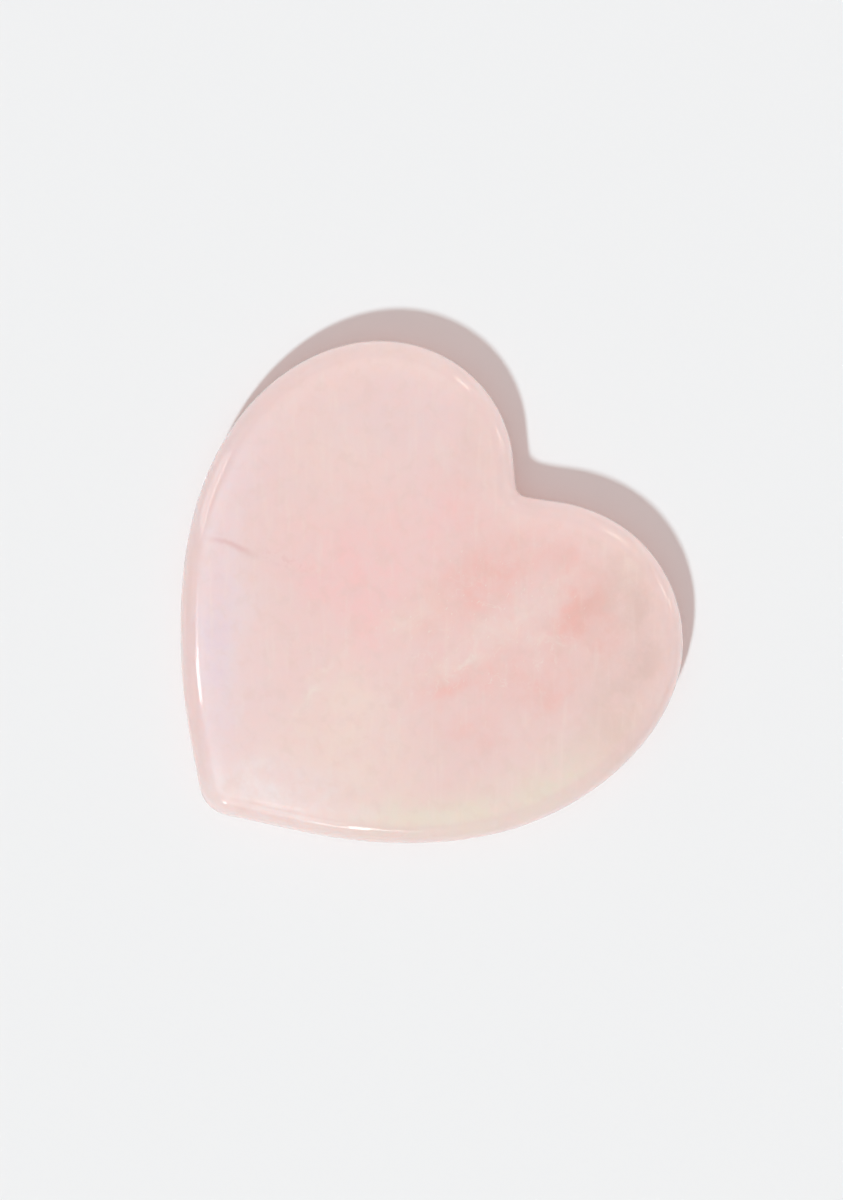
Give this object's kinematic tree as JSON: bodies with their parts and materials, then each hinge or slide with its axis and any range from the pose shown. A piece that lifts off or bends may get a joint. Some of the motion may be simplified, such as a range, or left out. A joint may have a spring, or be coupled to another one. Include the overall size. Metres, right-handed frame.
{
  "type": "gua sha scraper",
  "caption": "Flat heart-shaped massage scraper of polished rose quartz, with a full-round rim, a rounded tip and a hollow between its lobes.",
  "frame": {"origin": "centre of the bounding box, on the lower flat face", "axes": "+X across the two lobes, +Y from the tip to the hollow, +Z out of the upper face"},
  "size_m": [0.08, 0.0756, 0.007],
  "materials": {
    "rose_quartz": "polished, cloudy and slightly translucent pale pink"
  },
  "bodies": {
    "root": {"scraper_stone": "rose_quartz"}
  },
  "joints": []
}
